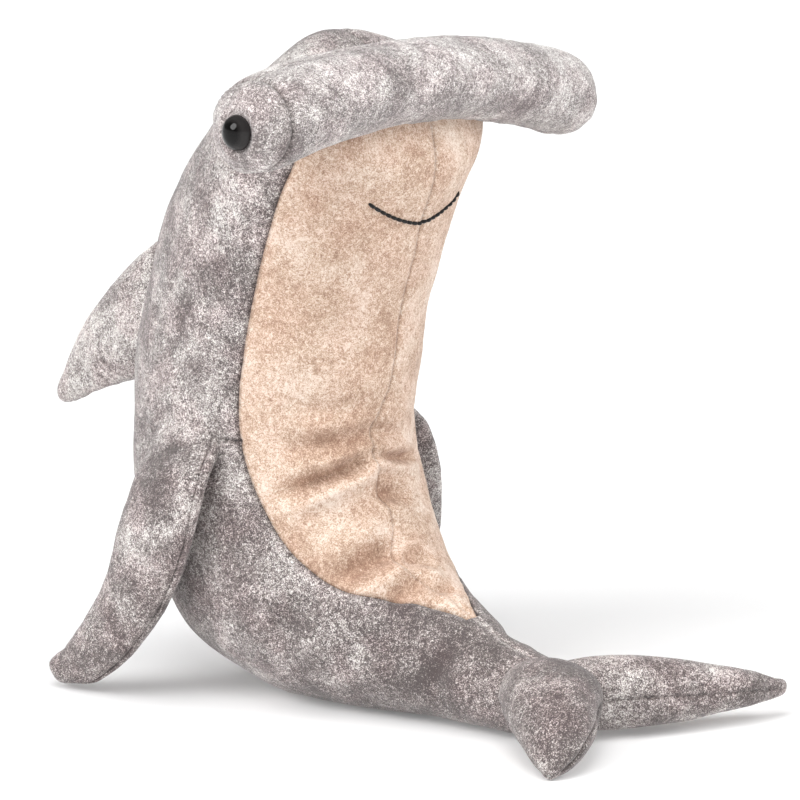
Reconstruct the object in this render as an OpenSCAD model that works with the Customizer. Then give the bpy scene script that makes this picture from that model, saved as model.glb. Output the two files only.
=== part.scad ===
// Plush hammerhead shark that sits upright on its tail: every sewn panel, filling and eye is its own solid.
// The belly faces -Y, the hammer runs along X, +Z is up and the floor is z = 0.

/* [Body] */
// Height of the toy as it sits
sitting_height = 290; // [260:5:340]
// Thickness of the plush fabric with its backing
fabric_t = 1.6; // [1.4:0.1:2]
// Clearance left at every sewn edge
seam_gap = 0.3; // [0.2:0.1:0.4]
// Clearance between a fabric panel and the filling under it
fill_gap = 1.3; // [1.2:0.1:1.6]

/* [Hammer] */
// Width of the hammer from end to end
hammer_w = 217; // [200:1:250]
// Front-to-back thickness of the hammer
hammer_d = 43; // [38:1:46]
// Height of the hammer's section
hammer_h = 37; // [33:1:40]
// How far the hammer's ends droop below its middle
hammer_droop = 14; // [6:1:18]
// How far the hammer's ends sweep back
hammer_sweep = 3; // [0:1:6]

/* [Eyes] */
// Diameter of the safety eye
eye_d = 14; // [10:0.5:16]
// Diameter of the eye's shank
shank_d = 4; // [3:0.5:5]
// Diameter of the lock washer inside the hammer
washer_d = 13; // [10:0.5:16]

/* [Fins] */
// Outward lean of the left pectoral fin against the right one
left_fin_flare = 26; // [0:1:30]
// How much further forward the left pectoral fin hangs
left_fin_swing = 14; // [0:1:16]

/* [Stitching] */
// Thickness of the mouth thread
thread_d = 1.6; // [1:0.1:2]

/* [Hidden] */

grey = [0.60, 0.58, 0.58];
pale_grey = [0.70, 0.69, 0.69];
cream = [0.86, 0.76, 0.65];
white = [0.93, 0.93, 0.91];
black = [0.04, 0.04, 0.045];

k = sitting_height / 290;       // scale of every outline below
origin_y = 31.2 * k;            // carries the outlines' y = 0 to the middle of the toy's length
origin_z = -1.8 * k;            // lets the seat settle into a flat patch on the floor
fill_off = fabric_t + fill_gap; // depth of a filling's surface below the fabric's outside

// Rings of the body from the crown to the tail: [y and z of the belly's middle, y and z of the spine,
// half width]
body = k * [
    [-89.5, 264, -90.5, 272, 6], [-82.5, 255, -78.5, 272, 27], [-85.5, 232, -43, 288.5, 53.5],
    [-77.5, 211, -6, 278.5, 58], [-73, 196, 18, 252, 59], [-66, 170, 44, 220, 56.3],
    [-64, 145, 62, 175, 55.5], [-60.5, 121, 70.5, 129, 56], [-62.5, 101, 65.5, 76.5, 59],
    [-69.5, 83, 36.5, 23, 56.5], [-79, 68, -14, 1, 48], [-92.5, 56.5, -57.5, 0, 36],
    [-107.5, 47.5, -92.5, 2, 26], [-125, 39.5, -119, 2.5, 20.5], [-143, 35, -141, 3, 19],
    [-156, 31, -156, 7, 17]];
t_crown = 0.5;     // the skin's top ring, inside the hammer
t_neck = 5;        // ring of the neck hinge
t_waist = 7.15;    // seam across the sides, where the pectoral fins are sewn in
t_belly_tip = 12; // where the belly panels run to a point
t_tail = 12.5;     // ring of the tail hinge
t_caudal = 14;     // ring of the tail fin's hinge
waist_gap = 0.01;  // clearance at the waist seam, in rings
// Half angle that the belly panels cover, at each ring of the body
belly_angle = [75, 75, 74, 71, 68, 67, 68, 66, 58.5, 52.5, 45.5, 27, 7, 0, 0, 0];

// ---------- curves and frames ----------
function blend4(p0, p1, p2, p3, u) = 0.5 * (2 * p1 + (p2 - p0) * u
    + (2 * p0 - 5 * p1 + 4 * p2 - p3) * u * u + (3 * p1 - p0 - 3 * p2 + p3) * u * u * u);
function at(rows, t) = let (n = len(rows), i = min(max(floor(t), 0), n - 2))
    blend4(rows[max(i - 1, 0)], rows[i], rows[i + 1], rows[min(i + 2, n - 1)], t - i);
function unit(v) = v / norm(v);
function steps(a, b, n) = [for (i = [0 : n]) a + (b - a) * i / n];

// A ring's middle, its reach from there to the belly's middle, and the direction towards the tail
function body_middle(r) = [0, (r[0] + r[2]) / 2 + origin_y, (r[1] + r[3]) / 2 + origin_z];
function body_reach(r) = [0, r[0] - r[2], r[1] - r[3]] / 2;
function body_along(r) = unit([0, r[3] - r[1], r[0] - r[2]]);
function on_floor(p, off) = [p[0], p[1], max(p[2], off)];
// A point of the body's surface, off millimetres under the fabric's outside; angle 0 is the belly's middle
function body_point(t, angle, off) = let (r = at(body, t), reach = body_reach(r), depth = norm(reach))
    on_floor(body_middle(r) + max(r[4] - off, 0.4) * sin(angle) * [1, 0, 0]
             + max(depth - off, 0.4) * cos(angle) * reach / depth, off);
function belly_edge(t) = max(at(belly_angle, t), 3);

// A ring of the ball at a body hinge, at a latitude from the hinge's own ring.
// axis "x" keeps the ball round about X, axis "z" round about Z. narrow takes that much off its half width.
function ball_ring(t, lat, off, n, axis, narrow = 0) = let (r = at(body, t), reach = body_reach(r),
    depth = norm(reach), ball = (axis == "x" ? depth : r[4]) - off)
    [for (i = [0 : n - 1]) on_floor(body_middle(r) + ball * sin(lat) * body_along(r)
        + (r[4] - off - narrow) * cos(lat) * sin(360 * i / n) * [1, 0, 0]
        + (depth - off) * cos(lat) * cos(360 * i / n) * reach / depth, off)];
function body_ring(t, off, n) = [for (i = [0 : n - 1]) body_point(t, 360 * i / n, off)];

// ---------- solids from rings and grids ----------
function flat(list) = [for (l = list) each l];
function reversed(list) = [for (i = [len(list) - 1 : -1 : 0]) list[i]];
function middle(ring) = [for (c = [0 : 2]) [for (p = ring) p[c]] * [for (p = ring) 1] / len(ring)];

// A closed solid through a list of rings, each with the same number of points
module loft(rings) {
    n = len(rings[0]);
    m = len(rings);
    points = concat(flat(rings), [middle(rings[0]), middle(rings[m - 1])]);
    sides = [for (j = [0 : m - 2], i = [0 : n - 1]) let (a = j * n + i, b = j * n + (i + 1) % n)
        each [[a, b, a + n], [b, b + n, a + n]]];
    start = [for (i = [0 : n - 1]) [m * n, (i + 1) % n, i]];
    end = [for (i = [0 : n - 1]) [m * n + 1, (m - 1) * n + i, (m - 1) * n + (i + 1) % n]];
    polyhedron(points, concat(sides, start, end));
}

// A closed shell between two grids of points of the same size, as a sewn panel
module sheet(outer, inner) {
    m = len(outer);
    n = len(outer[0]);
    all = m * n;
    points = concat(flat(outer), flat(inner));
    top = [for (j = [0 : m - 2], i = [0 : n - 2]) let (a = j * n + i)
        each [[a, a + 1, a + n], [a + 1, a + n + 1, a + n]]];
    under = [for (f = top) [f[2] + all, f[1] + all, f[0] + all]];
    rim = concat([for (i = [0 : n - 2]) [i + 1, i]], [for (j = [0 : m - 2]) [j * n, (j + 1) * n]],
        [for (i = [0 : n - 2]) [(m - 1) * n + i, (m - 1) * n + i + 1]],
        [for (j = [0 : m - 2]) [(j + 2) * n - 1, (j + 1) * n - 1]]);
    edge = [for (e = rim) each [[e[0], e[1], e[0] + all], [e[1], e[1] + all, e[0] + all]]];
    polyhedron(points, concat(top, under, edge));
}

// ---------- panels of the body ----------
// Panels that share a seam share its rows, so their edges run side by side
rows_above = steps(t_crown, t_waist - waist_gap, 12);
rows_below = steps(t_waist + waist_gap, t_belly_tip, 10);
// side is 1 for the left of the toy (+X) and -1 for the right; low and high give the angles of the two edges
module body_panel(side, rows, low, high, columns) {
    function grid(off) = [for (t = rows)
        let (g = seam_gap / 2 / (at(body, t)[4]) * 57.3, a = low(t) + g, b = high(t) - g)
        [for (v = side > 0 ? steps(a, b, columns) : steps(b, a, columns)) body_point(t, side * v, off)]];
    sheet(grid(0), grid(fabric_t));
}
module back_panel(side) color(grey) difference() {
    body_panel(side, rows_above, function (t) belly_edge(t), function (t) 180, 8);
    hammer_envelope();
}
module belly_panel(side) color(cream) difference() {
    body_panel(side, concat(rows_above, rows_below), function (t) 0, function (t) belly_edge(t), 6);
    hammer_envelope();
}
module flank_panel(side) color(grey)
    body_panel(side, concat(rows_below, [t_tail - 0.27]),
               function (t) t <= t_belly_tip ? belly_edge(t) : 0, function (t) 180, 9);
module tail_panel(side) color(grey)
    body_panel(side, steps(t_tail + 0.27, t_caudal - 0.3, 3), function (t) 0, function (t) 180, 6);

// ---------- fillings of the body ----------
sides = 30;
socket_gap = 1.8; // clearance of each ball in its socket
ball_lats = [16, 30, 44, 58, 72, 86]; // latitudes of a ball's rings, the same in the socket
head_rows = concat([for (t = rows_above) if (t < t_neck - 0.1) t], [t_neck]);
torso_rows = concat([t_neck + 0.52],
    [for (t = concat(rows_above, rows_below)) if (t > t_neck + 0.7 && t < t_tail - 0.5) t], [t_tail - 0.4]);
module torso_filling() color(white) difference() {
    loft(concat([for (i = [5 : -1 : 0]) ball_ring(t_neck, ball_lats[i], fill_off - socket_gap, sides, "x")],
        [for (t = torso_rows) body_ring(t, fill_off, sides)],
        [for (lat = [-32, -46, -62, -88]) ball_ring(t_tail, lat, fill_off - socket_gap, sides, "z")]));
    bag(bag_off - fill_gap);
}
module head_filling() color(white) difference() {
    loft(concat([for (t = head_rows) body_ring(t, fill_off, sides)],
        [for (lat = ball_lats) ball_ring(t_neck, lat, fill_off, sides, "x")]));
    hammer_envelope();
}
module tail_filling() color(white)
    loft(concat([for (lat = [-88, -62, -46, -32, -16]) ball_ring(t_tail, lat, fill_off, sides, "z")],
        [for (t = steps(t_tail, t_caudal - 0.35, 4)) body_ring(t, fill_off, sides)],
        [for (lat = [-24, -48, -86]) ball_ring(t_caudal, lat, fill_off - socket_gap, sides, "x")]));

// Cloth bag of plastic pellets that weights the seat
bag_off = 20 * k;
module bag(off) loft([for (j = [0 : 8])
    let (lat = -80 + 20 * j, share = max(cos(lat), 0.2),
         r = at(body, 9.2 + 1.1 * sin(lat)), reach = body_reach(r))
    [for (i = [0 : 15]) body_middle(r) + (r[4] - off) * share * sin(22.5 * i) * [1, 0, 0]
        + (norm(reach) - off) * share * cos(22.5 * i) * unit(reach)]]);
module pellet_bag() color(white) bag(bag_off);

// ---------- hammer ----------
hammer_y = -80 * k + origin_y;
hammer_z = 269 * k + origin_z;
cap_share = 0.92; // where the end caps are sewn on, as a share of the half width
// Share of the full section at each share of the half width
function hammer_section(s) = s < 0.78 ? 1 : sqrt(max(1 - pow((s - 0.78) / 0.22, 3.2), 0.0004));
function hammer_point(s, angle, off) =
    let (q = hammer_section(abs(s)), w = hammer_w / 2 - (abs(s) > 0.9 ? off : 0))
    [w * s, hammer_y + hammer_sweep * s * s + max(hammer_d / 2 * q - off, 0.3) * sin(angle),
     hammer_z - hammer_droop * s * s + max(hammer_h / 2 * q - off, 0.3) * cos(angle)];
function hammer_ring(s, off, n) = [for (i = [0 : n - 1]) hammer_point(s, 360 * i / n, off)];
cap_steps = [0.92, 0.945, 0.965, 0.98, 0.992, 0.9995];
hammer_steps = [0, 0.18, 0.36, 0.54, 0.7, 0.8, 0.87];
function both_ways(list) = concat([for (i = [len(list) - 1 : -1 : 1]) -list[i]], list);
module hammer_envelope()
    loft([for (s = both_ways(concat(hammer_steps, cap_steps))) hammer_ring(s, -seam_gap, 24)]);
module hammer_wrap(low, high) {
    edge = cap_share - 0.003;
    function grid(off) = [for (s = both_ways(concat(hammer_steps, [edge])))
        [for (v = steps(low, high, 8)) hammer_point(s, v, off)]];
    sheet(grid(0), grid(fabric_t));
}
module hammer_front_panel() color(pale_grey) hammer_wrap(180.5, 359.5);
module hammer_back_panel() color(pale_grey) hammer_wrap(0.5, 179.5);
module hammer_end_cap(side) color(pale_grey) difference() {
    outside = [for (i = [0 : 5]) hammer_ring(side * cap_steps[i], 0, 24)];
    inside = [for (i = [4 : -1 : 0]) hammer_ring(side * cap_steps[i], fabric_t, 24)];
    loft(side > 0 ? concat(inside, outside) : reversed(concat(inside, outside)));
    eye_axis(side) cylinder(d = shank_d + 0.6, h = 40, center = true, $fn = 32);
}
module hammer_filling() color(white) difference() {
    loft([for (s = both_ways(concat(hammer_steps, [0.92, 0.945, 0.965]))) hammer_ring(s, fill_off, 24)]);
    for (side = [-1, 1]) eye_axis(side) {
        translate([0, 0, -shank_l - 1]) cylinder(d = shank_d + 1, h = 40, $fn = 32);
        translate([0, 0, -washer_depth - 1]) cylinder(d = washer_d + 1.4, h = 40, $fn = 48);
    }
}

// ---------- eyes ----------
shank_l = 16;     // length of the shank behind the eye
washer_depth = 7; // distance of the washer's inner face behind the eye
// Places its children with +Z out of the hammer's end, at the fabric
eye_x = hammer_w / 2 * 0.9995;
module eye_axis(side) translate([side * eye_x, hammer_y + hammer_sweep, hammer_z - hammer_droop])
    rotate([0, side * 90, 0]) children();
module eye(side) color(black) eye_axis(side) {
    intersection() {
        translate([0, 0, -eye_d * 0.18]) sphere(d = eye_d * 1.12, $fn = 64);
        translate([0, 0, 0.1]) cylinder(d = eye_d, h = eye_d, $fn = 64);
    }
    translate([0, 0, -shank_l]) cylinder(d = shank_d, h = shank_l + 0.2, $fn = 32);
}
module eye_washer(side) color(white) eye_axis(side) translate([0, 0, -washer_depth]) difference() {
    cylinder(d = washer_d, h = 1.5, $fn = 48);
    translate([0, 0, -1]) cylinder(d = shank_d + 0.1, h = 4, $fn = 48);
}

// ---------- mouth ----------
mouth_half = 29 * k; // half the width of the smile
mouth_low = 3.04;    // body ring of the smile's lowest point
mouth_rise = 0.31;   // how many rings its corners rise
function mouth_path(u) = let (x = mouth_half * u, t = mouth_low - mouth_rise * pow(abs(u), 1.4), r = at(body, t))
    body_point(t, asin(x / r[4]), -thread_d / 2 - 0.3);
module mouth_stitch() color(black) loft([for (u = steps(-1, 1, 16))
    let (along = unit(mouth_path(u + 0.02) - mouth_path(u - 0.02)), up = unit(cross(along, [0, -1, 0])),
         out = cross(up, along), radius = thread_d / 2 * (abs(u) == 1 ? 0.5 : 1))
    [for (i = [0 : 7]) mouth_path(u) + radius * (cos(45 * i) * up + sin(45 * i) * out)]]);

// ---------- fins ----------
// A fin is a list of ribs from root to tip: [leading edge point, trailing edge point, half thickness]
function rib_row(r) = concat(r[0], r[1], [r[2]]);
function fin_point(rows, t, angle, off) = let (r = at(rows, t),
    front = [r[0], r[1], r[2]], rear = [r[3], r[4], r[5]],
    d = at(rows, min(t + 0.05, len(rows) - 1)) - at(rows, max(t - 0.05, 0)),
    along = [d[0] + d[3], d[1] + d[4], d[2] + d[5]],
    half = norm(rear - front) / 2, across = unit(rear - front), out = unit(cross(along, across)))
    (front + rear) / 2 + max(half - off, 0.4) * sin(angle) * across + max(r[6] - off, 0.4) * cos(angle) * out;
module fin_panel(rows, top, m) {
    mid = top ? 0 : 180;
    function grid(off) = [for (t = steps(0, len(rows) - 1, m))
        [for (v = steps(-89, 89, 6)) fin_point(rows, t, mid + v, off)]];
    sheet(grid(0), grid(fabric_t));
}
module fin_filling(rows, m) loft([for (i = [0 : m - 1])
    [for (v = [0 : 11]) fin_point(rows, i * (len(rows) - 1) / m, 30 * v, fabric_t + 0.9)]]);
origin = [0, origin_y, origin_z];
function shifted(ribs) = [for (r = ribs) rib_row([k * r[0] + origin, k * r[1] + origin, k * r[2]])];

// Right pectoral fin: it hangs from the seam down to the floor behind the seat
pectoral_ribs = [
    [[-62.3, -15, 118], [-62.3, 26, 99], 2.6], [[-65, -13, 108], [-66, 26, 92], 6],
    [[-68, -10, 92], [-70, 30, 78], 7.5], [[-69.5, -5, 70], [-71.5, 36, 58], 7],
    [[-71, 6, 46], [-73, 47, 38], 6.5], [[-72, 24, 22], [-74, 60, 22], 5.5],
    [[-73, 42, 8], [-74.5, 69, 13], 4], [[-73.5, 56, 4.5], [-74.5, 66, 6.5], 2.4]];
pectoral_rows = shifted(pectoral_ribs);
pectoral_root = k * [-62.3, 5.5, 108.5] + [0, origin_y, origin_z];
pectoral_axis = unit([0, 41, -19]);
left_fin_shift = 6 * k; // the left fin is sewn on this much nearer the belly
// The left fin is the right one mirrored, leaned outwards about its root and swung forward
module left_fin() translate([-pectoral_root[0], pectoral_root[1] - left_fin_shift, pectoral_root[2]])
    rotate([-left_fin_swing, 0, 0]) rotate(a = -left_fin_flare, v = pectoral_axis)
    translate([pectoral_root[0], -pectoral_root[1], -pectoral_root[2]]) mirror([1, 0, 0]) children();
module pectoral_outer() color(grey) fin_panel(pectoral_rows, false, 10);
module pectoral_inner() color(grey) fin_panel(pectoral_rows, true, 10);
module pectoral_filling() color(white) fin_filling(pectoral_rows, 10);

// Dorsal fin: it stands out of the back, swept towards the tail
dorsal_ribs = [
    [[0, 60.5, 197], [0, 72.8, 129], 2.2], [[0, 68, 194], [0, 77, 128], 7],
    [[0, 80, 187], [0, 85, 127], 9], [[0, 97, 173], [0, 98, 123], 8.5],
    [[0, 112, 159], [0, 112, 118], 7.5], [[0, 124, 145], [0, 125, 113], 6.5],
    [[0, 133, 130], [0, 134, 109.5], 5], [[0, 138, 121], [0, 138.5, 110], 3.4],
    [[0, 141, 117], [0, 141, 112], 2.2]];
dorsal_rows = shifted(dorsal_ribs);
module dorsal_fin_panel(left) color(grey) fin_panel(dorsal_rows, !left, 11);
module dorsal_fin_filling() color(white) fin_filling(dorsal_rows, 11);

// Tail fin, rolled over so that its long upper lobe lies to the left and its short lower lobe to the right
upper_lobe_ribs = [
    [[15, -171, 20], [8, -137, 20], 14], [[30, -182, 20], [24, -145, 20], 15.5],
    [[48, -193, 19], [42, -158, 19], 13.5], [[64, -200, 18], [60, -175, 18], 10],
    [[78, -203, 16.5], [75, -188, 16.5], 6.5], [[87, -203.5, 15], [86, -195, 15], 4],
    [[92, -203, 14.5], [91, -199, 14.5], 2.2]];
lower_lobe_ribs = [
    [[-11, -136, 18], [-9, -172, 18], 12.5], [[-22, -142, 17], [-20, -181, 17], 14],
    [[-31, -152, 14], [-28, -185, 14], 12], [[-38, -163, 10], [-34, -186, 10], 8.5],
    [[-42, -172, 6.5], [-39, -184, 6.5], 5], [[-43.5, -176, 4.5], [-42, -182, 4.5], 2.8]];
upper_rows = shifted(upper_lobe_ribs);
lower_rows = shifted(lower_lobe_ribs);
module lobe_panel(rows, top) color(grey) fin_panel(rows, top, 8);
module lobe_filling(rows) color(white) fin_filling(rows, 8);
// The stuffed root between the tail's end and the two lobes
root_narrow = 8.6 * k; // keeps the root's ball between the two lobes
root_gap = [0.6, 0, 0];
module caudal_root_filling() color(white) hull() {
    for (lat = [0, 25, 50, 86]) thin_plate(ball_ring(t_caudal, -lat, fill_off, sides, "x", root_narrow));
    thin_plate([for (i = [0 : 11]) fin_point(upper_rows, 0, 30 * i, fabric_t) - root_gap]);
    thin_plate([for (i = [0 : 11]) fin_point(lower_rows, 0, 30 * i, fabric_t) + root_gap]);
}
module thin_plate(ring) loft([ring, [for (p = ring) p + [0, 0.05, 0]]]);

torso_filling();
pellet_bag();
back_panel(1);  // back_panel_left
back_panel(-1);  // back_panel_right
belly_panel(1);  // belly_panel_left
belly_panel(-1);  // belly_panel_right
flank_panel(1);  // flank_panel_left
flank_panel(-1);  // flank_panel_right
head_filling();
hammer_filling();
hammer_front_panel();
hammer_back_panel();
hammer_end_cap(1);  // hammer_end_cap_left
hammer_end_cap(-1);  // hammer_end_cap_right
eye(1);  // eye_left
eye(-1);  // eye_right
eye_washer(1);  // eye_washer_left
eye_washer(-1);  // eye_washer_right
mouth_stitch();
left_fin() pectoral_outer();  // pectoral_left_outer_panel
left_fin() pectoral_inner();  // pectoral_left_inner_panel
left_fin() pectoral_filling();  // pectoral_left_filling
pectoral_outer();  // pectoral_right_outer_panel
pectoral_inner();  // pectoral_right_inner_panel
pectoral_filling();  // pectoral_right_filling
dorsal_fin_panel(true);  // dorsal_fin_left_panel
dorsal_fin_panel(false);  // dorsal_fin_right_panel
dorsal_fin_filling();
tail_panel(1);  // tail_panel_left
tail_panel(-1);  // tail_panel_right
tail_filling();
caudal_root_filling();
lobe_panel(upper_rows, true);  // caudal_upper_lobe_top_panel
lobe_panel(upper_rows, false);  // caudal_upper_lobe_bottom_panel
lobe_filling(upper_rows);  // caudal_upper_lobe_filling
lobe_panel(lower_rows, true);  // caudal_lower_lobe_top_panel
lobe_panel(lower_rows, false);  // caudal_lower_lobe_bottom_panel
lobe_filling(lower_rows);  // caudal_lower_lobe_filling
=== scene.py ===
"""Looks of the plush hammerhead shark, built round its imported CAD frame.

Tables and mesh code are in millimetres, the scene in metres. Left is +X and the toy faces -Y."""
import math

import bpy
import numpy as np
from mathutils import Matrix, Vector


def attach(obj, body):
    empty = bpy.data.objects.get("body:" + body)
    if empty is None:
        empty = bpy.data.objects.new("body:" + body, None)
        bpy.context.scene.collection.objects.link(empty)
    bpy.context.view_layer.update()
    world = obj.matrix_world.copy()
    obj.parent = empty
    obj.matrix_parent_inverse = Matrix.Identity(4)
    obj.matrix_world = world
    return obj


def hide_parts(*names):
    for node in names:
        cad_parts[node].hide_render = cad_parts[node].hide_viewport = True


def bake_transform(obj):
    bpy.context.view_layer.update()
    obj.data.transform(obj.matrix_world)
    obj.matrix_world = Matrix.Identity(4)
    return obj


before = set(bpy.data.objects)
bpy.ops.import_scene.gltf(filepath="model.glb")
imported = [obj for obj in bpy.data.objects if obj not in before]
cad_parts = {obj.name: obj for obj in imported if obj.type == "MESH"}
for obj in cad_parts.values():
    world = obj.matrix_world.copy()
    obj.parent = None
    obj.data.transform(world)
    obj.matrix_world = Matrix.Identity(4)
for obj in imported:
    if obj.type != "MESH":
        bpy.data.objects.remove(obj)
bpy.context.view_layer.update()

MM = 0.001
ORIGIN = np.array([0.0, 31.2, -1.8])   # moves the tables below into the CAD's frame
FLOOR_CLEARANCE = 0.25                 # fabric never reaches lower than this, in mm
FLOOR_EASE = 4.0                       # height at which the seat starts to flatten, in mm
CLOTH_THICK, FIN_CLOTH_THICK = 1.3, 0.9

# -------- camera, light and floor
TARGET, DISTANCE = Vector((0.0, -0.0358, 0.1329)), 1.2   # what the camera looks at, and from how far


def add_object(name, data):
    """A new object in the scene."""
    obj = bpy.data.objects.new(name, data)
    bpy.context.scene.collection.objects.link(obj)
    return obj


def way_to(azimuth, elevation):
    """Unit vector towards a place so many degrees round the toy, from its front, and so many up."""
    a, e = math.radians(azimuth), math.radians(elevation)
    return Vector((math.sin(a) * math.cos(e), -math.cos(a) * math.cos(e), math.sin(e)))


towards_camera = way_to(-50, 10.5)
camera = add_object("camera", bpy.data.cameras.new("camera"))
camera.location = TARGET + DISTANCE * towards_camera
camera.rotation_euler = towards_camera.to_track_quat("Z", "Y").to_euler()
camera.data.lens, camera.data.sensor_width = 128.5, 36
camera.data.clip_start, camera.data.clip_end = 0.05, 30
bpy.context.scene.camera = camera


def soft_light(name, azimuth, elevation, spread, strength, glints=True):
    """A far lamp. The wider its spread in degrees, the softer its shadows. glints lets it be mirrored."""
    light = bpy.data.lights.new(name, "SUN")
    light.energy, light.angle = strength, math.radians(spread)
    out = way_to(azimuth, elevation)
    lamp = add_object(name, light)
    lamp.rotation_euler = out.to_track_quat("Z", "Y").to_euler()
    lamp.location = 2.0 * out
    lamp.visible_glossy = glints


soft_light("key_light", -105, 34, 35, 2.2)
soft_light("right_light", 30, 32, 40, 1.9, glints=False)
soft_light("top_light", -60, 72, 35, 1.2, glints=False)
near = bpy.data.lights.new("head_light", "AREA")
near.shape, near.size, near.energy = "DISK", 0.5, 1.6
head_lamp = add_object("head_light", near)
head_lamp.location = (-0.55, -0.42, 0.62)
head_lamp.visible_glossy = False
head_lamp.rotation_euler = Vector((-0.55, -0.42, 0.42)).to_track_quat("Z", "Y").to_euler()   # at the head
world = bpy.data.worlds.new("studio")
bpy.context.scene.world = world
world.use_nodes = True
nodes, links = world.node_tree.nodes, world.node_tree.links
direction = nodes.new("ShaderNodeTexCoord")
height = nodes.new("ShaderNodeSeparateXYZ")
tones = nodes.new("ShaderNodeValToRGB")
horizon, overhead = tones.color_ramp.elements   # white behind the floor's edge, dim overhead
horizon.position, horizon.color = 0.12, (1.0, 1.0, 1.0, 1.0)
overhead.position, overhead.color = 0.22, (0.16, 0.16, 0.16, 1.0)
links.new(direction.outputs["Generated"], height.inputs["Vector"])
links.new(height.outputs["Z"], tones.inputs["Fac"])
links.new(tones.outputs["Color"], nodes["Background"].inputs["Color"])
bpy.context.scene.view_settings.view_transform = "Standard"


# -------- materials
class Shader:
    """A material and short ways to add its nodes."""

    def __init__(self, name):
        self.material = bpy.data.materials.new(name)
        self.material.use_nodes = True
        self.tree = self.material.node_tree
        self.bsdf = self.tree.nodes["Principled BSDF"]

    def add(self, kind, settings=None, **inputs):
        node = self.tree.nodes.new("ShaderNode" + kind)
        for key, value in (settings or {}).items():
            setattr(node, key, value)
        for key, value in inputs.items():
            socket = node.inputs[int(key[1:])] if key[0] == "_" else node.inputs[key]
            if hasattr(value, "is_output"):
                self.tree.links.new(value, socket)
            else:
                socket.default_value = value
        return node

    def set(self, name, value):
        """Gives the shader's own input a value, or another node's output."""
        if hasattr(value, "is_output"):
            self.tree.links.new(value, self.bsdf.inputs[name])
        else:
            self.bsdf.inputs[name].default_value = value

    def attribute(self, name, output="Fac"):
        return self.add("Attribute", {"attribute_name": name}).outputs[output]

    def noise(self, coords, scale, detail=3.0, roughness=0.6, distortion=0.0):
        node = self.add("TexNoise", Vector=coords, Scale=scale, Detail=detail, Roughness=roughness,
                        Distortion=distortion)
        return node.outputs["Fac"]

    def bump(self, height, strength, distance):
        node = self.add("Bump", Height=height, Strength=strength, Distance=distance)
        self.set("Normal", node.outputs["Normal"])

    def math(self, operation, a, b=0.0, c=0.0, clamp=False):
        return self.add("Math", {"operation": operation, "use_clamp": clamp}, _0=a, _1=b, _2=c).outputs[0]

    def ramp(self, value, stops):
        node = self.add("ValToRGB", Fac=value)
        ramp = node.color_ramp
        while len(ramp.elements) < len(stops):
            ramp.elements.new(0.5)
        for element, (at, colour) in zip(ramp.elements, stops):
            element.position, element.color = at, (*colour, 1.0)
        return node.outputs["Color"]

    def mix(self, factor, a, b, how="MIX"):
        node = self.add("Mix", {"data_type": "RGBA", "blend_type": how})
        for key, value in ((0, factor), (6, a), (7, b)):
            if hasattr(value, "is_output"):
                self.tree.links.new(value, node.inputs[key])
            else:
                node.inputs[key].default_value = value if key == 0 else (*value, 1.0)
        return node.outputs[2]


GRAIN, FINE_GRAIN, HUE_PATCHES = 750.0, 2200.0, 60.0   # noise scales, in lumps per metre
SEAM_DARK, SEAM_TINT = 0.62, (0.22, 0.18, 0.16)        # how far a needle line darkens the pile, and to what


def plush(name, stops, tint, patch, crush, weights, sheen, bump):
    """Pile fabric in rest coordinates: cloudy patches, crushed streaks and two grains, by their weights."""
    s = Shader(name)
    rest = s.attribute("rest", "Vector")
    seam = s.attribute("seam")
    shade = s.attribute("shade")
    cloud = s.noise(rest, patch, 3.0, 0.55, 0.8)
    streak = s.noise(rest, crush, 4.0, 0.65, 1.4)
    grain = s.noise(rest, GRAIN, 2.0, 0.7, 1.2)
    fine = s.noise(rest, FINE_GRAIN, 1.0, 0.5)
    value = s.math("MULTIPLY_ADD", cloud, weights[0], 0.5 - weights[0] / 2)
    for part, weight in ((streak, weights[1]), (grain, weights[2]), (fine, weights[3])):
        value = s.math("MULTIPLY_ADD", s.math("SUBTRACT", part, 0.5), weight, value)
    # shade: painted light and shade in some places, the fabric's own tone by place in others
    value = s.math("ADD", value, shade)
    colour = s.ramp(value, stops)
    hue = s.ramp(s.noise(rest, HUE_PATCHES, 2.0), [(0.42, (0, 0, 0)), (0.62, (1, 1, 1))])
    colour = s.mix(s.math("MULTIPLY", hue, 0.5), colour, s.mix(1.0, colour, tint, "MULTIPLY"))
    dark = s.math("MULTIPLY", seam, SEAM_DARK)
    colour = s.mix(dark, colour, s.mix(1.0, colour, SEAM_TINT, "MULTIPLY"))
    s.set("Base Color", colour)
    height = s.math("MULTIPLY_ADD", grain, 0.5, s.math("MULTIPLY", streak, 1.4))
    height = s.math("MULTIPLY_ADD", fine, 0.35, height)
    s.bump(height, bump, 0.0012)
    s.set("Roughness", s.math("MULTIPLY_ADD", streak, -0.30, 0.92, clamp=True))
    s.set("Sheen Weight", sheen)
    s.set("Sheen Roughness", 0.42)
    s.set("Specular IOR Level", 0.25)
    return s.material


GREY_STOPS = [(0.26, (0.095, 0.080, 0.078)), (0.41, (0.185, 0.160, 0.155)), (0.52, (0.315, 0.275, 0.264)),
              (0.63, (0.470, 0.430, 0.412)), (0.80, (0.800, 0.780, 0.750))]
PALE_STOPS = [(0.24, (0.140, 0.122, 0.120)), (0.38, (0.250, 0.222, 0.215)), (0.51, (0.400, 0.360, 0.350)),
              (0.63, (0.570, 0.535, 0.520)), (0.80, (0.860, 0.845, 0.820))]
CREAM_STOPS = [(0.28, (0.320, 0.200, 0.142)), (0.43, (0.478, 0.332, 0.245)), (0.54, (0.605, 0.450, 0.348)),
               (0.72, (0.775, 0.675, 0.592))]
grey_plush = plush("grey_plush", GREY_STOPS, tint=(1.0, 0.88, 0.90), patch=42.0, crush=170.0,
                   weights=(0.75, 0.50, 1.20, 1.15), sheen=0.30, bump=0.60)
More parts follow.
